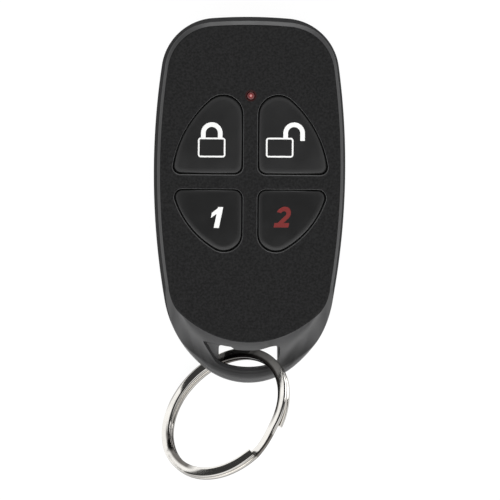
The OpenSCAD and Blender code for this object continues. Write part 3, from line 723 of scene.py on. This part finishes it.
slotShape = {
    "left": -5.1, "right": 5.1, "setback": 6.12, "wallRadius": 24.0,
    "barWidth": 2.6, "barRadius": 13.3, "barBevel": 0.5, "barStep": 0.15,
    "corner": 11,            # power of the rounded square that the slot's outline is bent from
    "tongue": 0.41, "tongueFrom": (-3.1, -2.3), "tongueTo": (1.4, 4.3), "tongueHigh": (-0.3, 0.9),
    "shelf": 2.3, "shelfHigh": (0.1, 0.5), "shelfTilt": 1.2,    # shelf at the left end
    "taper": 0.8,            # power by which the shelf narrows towards the bar
    "end": 0.75, "endHigh": (0.5, 1.5),       # steep wall beyond the shelf
    "draft": 0.4, "draftHigh": (1.9, 2.6),    # lean of the right wall
    "flareMore": 0.1,        # how far the bar's flare goes on past its bevel
    "past": 1.0,             # how far the cutter reaches beyond both covers
    # levels of the cutter: plain ones below and above the lug, both sides of the parting line, and the
    # first and the number of those where its walls bend
    "plain": (2.0, 2.6), "part": 0.001, "bendFrom": 0.1, "bends": 27, "around": 240,
}
# Places of the finishes in the front cover's list; the slot keeps its place in the back cover's
glossPlace, facePlace, sidePlace, slotPlace, rimPlace = range(5)


def slope(x, span):
    # straight share of the way through a span
    return np.clip((x - span[0]) / (span[1] - span[0]), 0, 1)


def slotCutter():
    # a rounded square |x|^n + |v|^n = 1 stretched between the slot's two ends, whose v runs from the bar's
    # inner circle to the upper wall, stacked in height. The bar's edges flare, a tongue hangs over the
    # middle from above, and the left end steps up to a shelf.
    s = slotShape
    lug = caseShape["lugThick"] / 2
    bends = [*s["tongueHigh"], *s["draftHigh"], s["endHigh"][1] + s["shelfTilt"]]
    lower, upper = s["plain"]
    under = [-splitHigh - s["past"], -lug - lower, -lug, -lug + s["barBevel"], -s["part"], s["part"]]
    over = [lug + upper, faceHigh - splitHigh + s["past"]]
    up = np.concatenate([under, np.linspace(s["bendFrom"], max(bends), s["bends"]), over])
    flare = np.clip(np.abs(up) - lug + s["barBevel"], 0, s["barBevel"] + s["flareMore"])
    flare = flare - s["barStep"] * (up < 0)
    circle = unit(np.linspace(0, 360, s["around"], endpoint=False)).T
    across, along = circle / (np.abs(circle) ** s["corner"]).sum(0) ** (1 / s["corner"])
    share = (along + 1) / 2
    level = up[:, None] - s["shelfTilt"] * share
    step = s["shelf"] * slope(level, s["shelfHigh"]) + s["end"] * slope(level, s["endHigh"])
    left = s["left"] - step * share ** s["taper"]
    right = s["right"] + s["draft"] * slope(up[:, None], s["draftHigh"])
    x = left + (right - left) * (across + 1) / 2
    low = tipY + s["barWidth"] + s["barRadius"] - np.sqrt((s["barRadius"] + flare[:, None]) ** 2 - x ** 2)
    high = tipY + s["setback"] + s["wallRadius"] - np.sqrt(s["wallRadius"] ** 2 - x ** 2)
    tongue = rise(x, s["tongueFrom"]) * (1 - rise(x, s["tongueTo"])) * rise(up, s["tongueHigh"])[:, None]
    high = high - s["tongue"] * tongue
    y = low + (high - low) * share
    points = np.stack([x, y, np.broadcast_to(splitHigh + up[:, None], x.shape)], -1)
    return makePiece("slot_cutter", cappedTube(points, slotPlace), [])


# Screws from the back

screwShape = {"out": 10.2, "down": 8.2, "up": 13.6, "pocket": 2.0, "depth": 1.8, "lip": 0.2, "hole": 0.93,
              "flat": 0.06, "holeDeep": 0.3, "edgeRings": 6, "pocketAround": 64, "headAround": 48,
              "head": 1.8, "headHigh": 1.3, "headRound": 0.3, "shank": 0.9,
              "recessLong": 1.2, "recessWide": 0.33, "recessDeep": 0.7, "recessTaper": 0.8}
upperScrews = [[side * screwShape["out"], topY - screwShape["down"]] for side in (1, -1)]
screwPlaces = np.array([*upperScrews, [0, tipY + screwShape["up"]]])


# Front cover: outer skin, matt face with lipped windows, and the hollow behind it

def tubeRings(at, sizes, count=40):
    # circles of given radius and height about an upright axis
    circle = unit(np.linspace(0, 360, count, endpoint=False))
    return np.array([ringAt(at[:2] + radius * circle, high) for radius, high in sizes])


lampHole = {"radius": 0.72, "lip": 0.22, "chamfer": 0.3, "flat": 0.05}
postShape = {"frontRadius": 2.03, "backRadius": 3.1, "hole": 0.93, "cover": 0.55, "holdRadius": 0.9,
             "holdOut": 4.2, "holdDown": 3.95, "lowHoldUp": 18.65,
             "clear": 0.02, "sink": 0.3,         # space at the parting line, and root in the front skin
             "backRoot": 1.0, "backHole": 0.2}   # height of the root in the back, and hole over the pocket


def postPatches(at, radius, hole, foot, holeEnd, root):
    # a hollow post: the hole is open at its foot
    return cappedTube(tubeRings(at, [(hole, holeEnd), (hole, foot), (radius, foot), (radius, root)]))


def makeFrontCover(cutter):
    # rings of the skin and the hollow, a rounded lip for each key window, and flat sheets between them
    s = caseShape
    skinLow = faceHigh - s["skin"]
    skin = coverSkin(True)
    cavity, rebate = loopOf(cavityArcs), loopOf(cavityArcs, -s["lipWidth"] - s["lipGap"])
    wall, rim = s["sideRows"], -s["faceRows"]
    patches = [gridPatch(skin[:wall], sidePlace), gridPatch(skin[wall - 1:rim + 1], glossPlace),
               gridPatch(skin[rim:], facePlace)]
    inside = [ringAt(cavity, skinLow), ringAt(cavity, lipHigh + s["lipGap"]),
              ringAt(rebate, lipHigh + s["lipGap"]), ringAt(rebate, splitHigh), skin[0]]
    patches.append(gridPatch(inside, glossPlace))
    faceHoles, skinHoles = [], []
    for body in keys:
        k = keyShape
        gap = k["gap"] - k["close"]
        faceHoles.append(keyLoop(body, gap + k["lip"] + k["lipFlat"]))
        skinHoles.append(keyLoop(body, gap))
        out = keyLoop(body, gap + 1) - skinHoles[-1]
        lip = k["lip"] * (1 - (1 - k["lipTop"]) * rise(out[:, 1], k["lipSpan"]))
        rings = [ringAt(faceHoles[-1], faceHigh)]
        for below, outward in quarterRound(k["edgeRings"]):
            rings.append(ringAt(skinHoles[-1] + out * (lip * outward)[:, None], faceHigh - lip * below))
        rings.append(ringAt(skinHoles[-1], skinLow))
        patches += [gridPatch(rings[:2], facePlace), gridPatch(rings[1:], glossPlace)]
    r, lip = lampHole["radius"], lampHole["lip"]
    inner = lip * lampHole["chamfer"]
    hole = tubeRings(lampAt, [(r + lip + lampHole["flat"], faceHigh), (r + lip, faceHigh),
                              (r + inner, faceHigh - inner), (r, faceHigh - lip), (r, skinLow)])
    patches.append(gridPatch(hole, rimPlace))
    faceHoles.append(hole[0][:, :2])
    skinHoles.append(hole[-1][:, :2])
    patches.append(sheetPatch(skin[-1][:, :2], faceHoles, faceHigh, facePlace))
    patches.append(sheetPatch(cavity, skinHoles, skinLow, glossPlace))
    p = postShape
    root, foot = skinLow + p["sink"], splitHigh + p["clear"]
    for at in screwPlaces:
        patches += postPatches(at, p["frontRadius"], p["hole"], foot, skinLow - p["cover"], root)
    boardHigh = boxMm("circuit_board")[1][2]
    holds = [(p["holdOut"], topY - p["holdDown"]), (screwShape["out"], tipY + p["lowHoldUp"])]
    rod = [(p["holdRadius"], boardHigh), (p["holdRadius"], root)]
    for side in (-1, 1):
        for x, y in holds:
            patches += cappedTube(tubeRings(np.array([side * x, y]), rod))
    piece = makePiece("front_shell", patches, [caseGloss, caseFace, caseSide, slotGlossPaintedLight, lampRimPaintedGlow])
    cutAway(piece, cutter)
    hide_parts("front_cover")
    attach(piece, "case")


# Back cover: outer skin, flat back with three screw pockets, floor, walls and the locating lip

def makeBackCover(cutter):
    # rings of the skin and the hollow, a round pocket with a hollow post for each screw, and flat sheets
    s, p = caseShape, screwShape
    skin = coverSkin(False)
    cavity, lip = loopOf(cavityArcs), loopOf(cavityArcs, -s["lipWidth"])
    patches = [gridPatch(skin)]
    inside = [ringAt(cavity, s["floor"]), ringAt(cavity, lipHigh), ringAt(lip, lipHigh),
              ringAt(lip, splitHigh), skin[0]]
    patches += [gridPatch(inside), sheetPatch(cavity, [], s["floor"])]
    foot, holeEnd = splitHigh - postShape["clear"], p["depth"] + postShape["backHole"]
    holes = []
    for at in screwPlaces:
        rings = [(p["pocket"] + p["lip"] + p["flat"], 0)]
        rings += [(p["pocket"] + outward, up) for up, outward in p["lip"] * quarterRound(p["edgeRings"])]
        rings += [(p["pocket"], p["depth"]), (p["hole"], p["depth"])]
        rings.append((p["hole"], p["depth"] + p["holeDeep"]))
        pocket = tubeRings(at, rings, p["pocketAround"])
        patches += [gridPatch(pocket), fanPatch(pocket[-1], pocket[-1].mean(0))]
        holes.append(pocket[0][:, :2])
        patches += postPatches(at, postShape["backRadius"], p["hole"], foot, holeEnd, postShape["backRoot"])
    patches.append(sheetPatch(skin[-1][:, :2], holes, 0.0))
    piece = makePiece("back_shell", patches, [caseBack] * (slotPlace + 1))    # its slot has the same finish
    cutAway(piece, cutter)
    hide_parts("back_cover")
    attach(piece, "case")


cutter = slotCutter()
makeFrontCover(cutter)
makeBackCover(cutter)
bpy.data.objects.remove(cutter)
print("covers made")


def screwPatches(at):
    # shank, head with a round edge, and a cross recess whose walls taper
    s = screwShape
    faceLow, tip = s["depth"] - s["headHigh"], boxMm("case_screws")[1][2]
    rings = [(s["shank"], tip), (s["shank"], s["depth"]), (s["head"], s["depth"])]
    edge = s["headRound"] * quarterRound(s["edgeRings"])
    rings += [(s["head"] - inward, faceLow + up) for inward, up in edge]
    rings = tubeRings(at, rings, s["headAround"])
    long, wide = s["recessLong"], s["recessWide"]
    arm = np.array([[long, -wide], [long, wide], [wide, wide]])
    quarter = np.array([[0, 1], [-1, 0]])
    cross = np.concatenate([arm @ np.linalg.matrix_power(quarter, q) for q in range(4)])
    mouth, bottom = at + cross, at + cross * s["recessTaper"]
    walls = [ringAt(mouth, faceLow), ringAt(bottom, faceLow + s["recessDeep"])]
    return [gridPatch(rings), fanPatch(rings[0], rings[0].mean(0)),
            sheetPatch(rings[-1][:, :2], [mouth], faceLow), gridPatch(walls),
            sheetPatch(bottom, [], faceLow + s["recessDeep"])]


allScrews = [patch for at in screwPlaces for patch in screwPatches(at)]
screws = makePiece("cross_screws", allScrews, [screwSteel])
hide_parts("case_screws")
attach(screws, "case")


# Lamp: the domed end of a red light pipe, with a painted highlight that makes it paler in its middle

lampShape = {"radius": 0.7, "dome": 0.22, "collar": 1.16, "collarThick": 0.5, "collarGap": 0.02,
             "domeRings": 12, "rough": 0.12,
             # tones from the middle out: a pale painted highlight, then red that darkens to the edge
             "tones": [(0.12, (0.6, 0.3, 0.29)), (0.4, (0.2, 0.03, 0.03)), (0.7, (0.1, 0.01, 0.011)),
                       (1.0, (0.06, 0.008, 0.008))]}


def lampHighlightMaterial():
    # colour by distance from the pipe's own axis: a pale painted highlight in the middle, darker red
    # towards the edge
    material, tree, shader = newMaterial("lampRedPaintedHighlight")
    away = fromAxis(tree, lampAt, lampShape["radius"])[1]
    tone = ramp(tree, away, lampShape["tones"])
    fill(tree, shader, {"Base Color": tone, "Roughness": lampShape["rough"]})
    return material


def makeLamp():
    # from below: the pipe, its collar under the skin, and an oval dome
    s = lampShape
    low, high = boxMm("light_pipe")
    skinLow = faceHigh - caseShape["skin"]
    collarLow, collarHigh = skinLow - s["collarThick"], skinLow - s["collarGap"]
    rings = [(s["radius"], low[2]), (s["radius"], collarLow), (s["collar"], collarLow),
             (s["collar"], collarHigh), (s["radius"], collarHigh)]
    dome = quarterRound(s["domeRings"])[:-1] * [s["radius"], s["dome"]]
    rings += [(s["radius"] - inward, high[2] - below) for inward, below in dome]
    rings = tubeRings(lampAt, rings)
    ends = [fanPatch(rings[0], [*lampAt[:2], low[2]]), fanPatch(rings[-1], [*lampAt[:2], high[2]])]
    piece = makePiece("lamp_lens", [gridPatch(rings), *ends], [lampHighlightMaterial()])
    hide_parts("light_pipe")
    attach(piece, "case")


makeLamp()
print("screws and lamp made")


# Split ring: flat wire in two turns that cross over once

ringMount = next(m for m in frame["record"]["mounts"] if m["name"] == "key_ring")
ringShape = {"diameter": 25.54, "width": 1.8, "thick": 0.72, "gap": 0.04, "square": 4.0,
             "crossFrom": 67.3, "crossLength": 31.1, "steps": 560, "around": 36,
             "spring": 0.25, "springLength": 30.0,       # how far the lower end stands off
             # angle round the ring and lean of the wire there
             "twist": [(0, 0), (64, 0), (80, 4), (92, 4), (97, -5), (105, -9), (150, -9), (170, 0),
                       (180, 8), (192, 14), (199, 13), (208, 0), (255, 0), (268, 7), (280, 11),
                       (300, 12), (330, 0)],
             # tones of bright plating and of painted dark reflections and shade, and streaks: their
             # fineness, shade, gloss and depth
             "tones": [(0, (0.92, 0.895, 0.85)), (1, (0.10, 0.092, 0.084))],
             "streaks": 260, "streakShade": 0.1, "rough": (0.07, 0.15), "scratch": 0.000003}
# Dark reflections and shade painted on the plating. Each is a product of rows: the place along the ring's
# own axes or away from its middle, the shade before and after, and the span of the change, in outer radii
ringInner = 1 - 2 * ringShape["width"] / ringShape["diameter"]
ringPaintedShade = {
    "inner edge": [("away", 0.7, 0, ringInner + 0.004, ringInner + 0.014)],
    "outer rim": [("away", 0, 0.7, 0.988, 0.998), ("X", 1, 0.55, 0.25, 0.45)],
    # painted shade where the ring lies in the lug
    "shaded in the lug": [("away", 1, 0, ringInner + 0.035, ringInner + 0.06), ("X", 0, 1, 0.25, 0.5)],
    "opposite the lug": [("away", 0.9, 0, ringInner + 0.05, ringInner + 0.075), ("X", 1, 0, -0.74, -0.6),
                         ("Y", 1, 0, 0.2, 0.36)],
    "crossing": [("X", 1, 0, 0.22, 0.3), ("X", 0, 1, -0.2, -0.12), ("Y", 0, 1, 0, 0.5),
                 ("away", 0, 1, 0.965, 0.98)],
    "outer edge beside the lug": [("away", 0, 0.75, 0.962, 0.98), ("Y", 1, 0, -0.93, -0.82)],
}


def ringMaterial(centre, turned):
    # polished plating with a fine streak, darkened by painted dark reflections and shade, the darkest at
    # each place counting
    s = ringShape
    material, tree, shader = newMaterial("ringNickel")
    place, away = fromAxis(tree, centre, s["diameter"] / 2, Matrix(turned.T.tolist()).to_euler())
    places = {"X": place["X"], "Y": place["Y"], "away": away}
    streak = noise(tree, objectPoint(tree), s["streaks"], 4, 0.6)
    paintedShades = []
    for rows in ringPaintedShade.values():
        fades = [spread(tree, places[along], *change) for along, *change in rows]
        paintedShades.append(arithmetic(tree, "MULTIPLY", *fades))
    paintedDark = arithmetic(tree, "MAXIMUM", *paintedShades)
    shade = arithmetic(tree, "ADD", paintedDark, spread(tree, streak, 0, s["streakShade"]))
    fill(tree, shader, {
        "Base Color": ramp(tree, shade, s["tones"]),
        "Roughness": spread(tree, streak, *s["rough"]),
        "Normal": bump(tree, streak, s["scratch"]),
        "Metallic": 1})
    return material


def makeRing():
    # an oval |x|^n + |y|^n = 1, slightly twisted, carried round a circle; the offset across the turns eases
    # over at the crossing, and the lower end springs away a little
    s = ringShape
    normal = -np.array(ringMount["axis"]) / np.linalg.norm(ringMount["axis"])
    level = np.cross([0, 0, 1], normal)
    level /= np.linalg.norm(level) * np.sign(level[0] + level[1])
    rising = np.cross(normal, level)
    centre = np.array(ringMount["pos_m"]) / mm
    start = s["crossFrom"] + s["crossLength"]
    angle = np.linspace(start, start + 720 - s["crossLength"], s["steps"])
    shift = (s["thick"] + s["gap"]) * (eased((angle - s["crossFrom"] - 360) / s["crossLength"]) - 0.5)
    shift += s["spring"] * eased(1 - (angle[-1] - angle) / s["springLength"])
    turn = unit(np.linspace(0, 360, s["around"], endpoint=False))
    section = np.sign(turn) * np.abs(turn) ** (2 / s["square"]) * [s["width"] / 2, s["thick"] / 2]
    twist = np.radians(np.interp(angle, *np.array(s["twist"]).T, period=360))
    x = section[:, 0] * np.cos(twist)[:, None] + section[:, 1] * np.sin(twist)[:, None]
    y = section[:, 1] * np.cos(twist)[:, None] - section[:, 0] * np.sin(twist)[:, None]
    out = unit(angle) @ np.stack([level, rising])
    radius = (s["diameter"] - s["width"]) / 2
    points = centre + out[:, None] * (radius + x)[..., None] + normal * (shift[:, None] + y)[..., None]
    finish = ringMaterial(centre, np.array([level, rising, normal]))
    piece = makePiece("split_ring_wire", cappedTube(points), [finish])
    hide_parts("split_ring")
    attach(piece, "ring")
    return piece


ringPiece = makeRing()
print("ring made, box", np.round(np.array(ringPiece.bound_box)[[0, 6]] / mm, 2))


# Pieces inside, which keep their CAD shapes

insidePlastics = {    # dark and light colour, roughness, grain, its depth and the specular level
    "plunger_white": ((0.70, 0.68, 0.62), (0.80, 0.78, 0.72), (0.4, 0.5), 1800, 0.000006),
    "mat_rubber": (grey(0.17), grey(0.22), (0.6, 0.75), 1500, 0.00001, 0.3),
    "lamp_body": ((0.78, 0.73, 0.61), (0.88, 0.83, 0.71), (0.3, 0.4), 2000),
    "board_green": ((0.014, 0.13, 0.045), (0.024, 0.18, 0.07), (0.25, 0.4), 1500, 0.000006),
    "part_black": (grey(0.017), grey(0.024), (0.45, 0.6), 2200, 0.000008),
    "capacitor_tan": ((0.36, 0.21, 0.09), (0.48, 0.30, 0.14), (0.4, 0.55), 2200, 0.000006),
    "seal_dark": (grey(0.04), grey(0.06), (0.4, 0.5), 1800, 0.000005),
}
insideMetals = {    # dark and light colour, roughness, and streaks for each metre along X, Y and Z
    "plate_steel": ((0.52, 0.52, 0.53), (0.66, 0.66, 0.67), (0.25, 0.38), (120, 2400, 120)),
    "lead_tin": ((0.58, 0.58, 0.59), (0.72, 0.72, 0.73), (0.3, 0.45), (700, 700, 700)),
    "aerial_copper": ((0.52, 0.24, 0.11), (0.70, 0.36, 0.18), (0.25, 0.4), (900, 900, 900)),
    "clip_spring": ((0.54, 0.50, 0.41), (0.68, 0.64, 0.54), (0.25, 0.4), (90, 2000, 90)),
    "contact_gold": ((0.62, 0.45, 0.16), (0.78, 0.60, 0.26), (0.2, 0.35), (900, 90, 900)),
    "cell_steel": ((0.58, 0.58, 0.59), (0.74, 0.74, 0.75), (0.2, 0.34), (60, 1600, 60)),
}


def finishName(slot):
    first, second = slot.split("_")
    return first + second.title()


insideLooks = {slot: plastic(finishName(slot), *look) for slot, look in insidePlastics.items()}
insideLooks |= {slot: metal(finishName(slot), *look) for slot, look in insideMetals.items()}
for subpart in frame["record"]["subparts"]:
    look = insideLooks.get(subpart["material_slot"])
    if look:
        mesh = nodes[subpart["node"]].data
        mesh.materials.clear()
        mesh.materials.append(look)
print("inside pieces dressed")


# Stage: pale floor, a soft lamp and a camera that looks almost straight down onto the face

stage = {"pixel": 0.1735, "middle": (0.2, -8.70), "distance": 2200.0, "west": 1.3, "north": 1.0,
         "roll": 0.45, "image": 500, "clip": (0.01, 10),
         "northSky": [(0, 1.0), (0.02, 0.04), (0.55, 0.04), (0.68, 1.1), (0.85, 1.1), (0.93, 0.1)],
         "southSky": [(0, 1.0), (0.06, 2.6), (0.6, 2.6), (0.72, 1.7), (0.86, 1.7), (0.94, 0.1)],
         "southFrom": (-0.6, 0.25),
         "lampAt": (0.08, 0.6, 0.2), "lampTarget": (0, -0.005, 0.006), "lampSize": (0.42, 0.3),
         "lampPower": 1.6,
         "floorReach": 2.0, "floorLow": -0.00005, "floorTone": 0.9, "floorRough": 0.9,
         "glow": 1.06, "glowShare": 0.88}


def makeCamera():
    # looks back at the case from a point leant west and north, rolled, with a lens that frames the image
    s = stage
    target = np.array([*s["middle"], splitHigh])
    back = np.array([-math.tan(math.radians(s["west"])), math.tan(math.radians(s["north"])), 1.0])
    back /= np.linalg.norm(back)
    right = np.cross([0, 1, 0], back)
    right /= np.linalg.norm(right)
    upward = np.cross(back, right)
    c, n = math.cos(math.radians(s["roll"])), math.sin(math.radians(s["roll"]))
    right, upward = c * right + n * upward, c * upward - n * right
    data = bpy.data.cameras.new("camera")
    camera = newObject("camera", data)
    place = (target + back * s["distance"]) * mm
    rows = np.column_stack([right, upward, back, place])
    camera.matrix_world = Matrix([*rows.tolist(), [0, 0, 0, 1]])
    data.lens = data.sensor_width * s["distance"] / (s["pixel"] * s["image"])
    data.clip_start, data.clip_end = s["clip"]
    bpy.context.scene.camera = camera


def makeNorthLamp():
    s = stage
    data = bpy.data.lights.new("north_lamp", "AREA")
    data.shape = "RECTANGLE"
    data.size, data.size_y = s["lampSize"]
    data.energy = s["lampPower"]
    lamp = newObject("north_lamp", data)
    lamp.location = s["lampAt"]
    towards = Vector(s["lampTarget"]) - Vector(s["lampAt"])
    lamp.rotation_euler = towards.to_track_quat("-Z", "Y").to_euler()


def makeFloor():
    # white to the camera and in reflections, with a part of plain diffuse that keeps the shadow
    mesh = bpy.data.meshes.new("floor")
    reach, low = stage["floorReach"], stage["floorLow"]
    corners = [(x * reach, y * reach, low) for x, y in ((-1, -1), (1, -1), (1, 1), (-1, 1))]
    mesh.from_pydata(corners, [], [(0, 1, 2, 3)])
    floor = newObject("floor", mesh)
    material, tree, shader = newMaterial("floorWhite")
    mesh.materials.append(material)
    tone = stage["floorTone"]
    fill(tree, shader, {"Base Color": (tone, tone, tone, 1), "Roughness": stage["floorRough"]})
    path = addNode(tree, "LightPath", {})
    glow = addNode(tree, "Emission", {"Strength": stage["glow"]})
    rays = [path.outputs[f"Is {kind} Ray"] for kind in ("Camera", "Glossy", "Transmission")]
    share = arithmetic(tree, "MULTIPLY", arithmetic(tree, "MAXIMUM", *rays), stage["glowShare"])
    mix = addNode(tree, "MixShader", {0: share, 1: shader.outputs[0], 2: glow.outputs[0]})
    fill(tree, tree.nodes["Material Output"], {"Surface": mix.outputs[0]})


def makeWorld():
    # strength by height over the horizon: pale at the horizon, dark above it, then a bright ring and a dark
    # top; towards the south the dark part is bright too
    world = bpy.data.worlds.new("studio")
    bpy.context.scene.world = world
    world.use_nodes = True
    tree = world.node_tree
    where = addNode(tree, "TexCoord", {})
    place = addNode(tree, "SeparateXYZ", {0: where.outputs["Generated"]}).outputs
    skies = [stage["northSky"], stage["southSky"]]
    most = max(level for sky in skies for _, level in sky)
    tones = [[(high, (level / most,) * 3) for high, level in sky] for sky in skies]
    north, south = [ramp(tree, place["Z"], stops) for stops in tones]
    share = spread(tree, place["Y"], 1, 0, *stage["southFrom"])
    mix = addNode(tree, "Mix", {"Factor": share, 6: north, 7: south}, data_type="RGBA")
    fill(tree, tree.nodes["Background"], {"Color": mix.outputs[2], "Strength": most})


makeWorld()
makeCamera()
makeFloor()
makeNorthLamp()
bpy.context.scene.view_settings.view_transform = "Standard"
print("stage made")
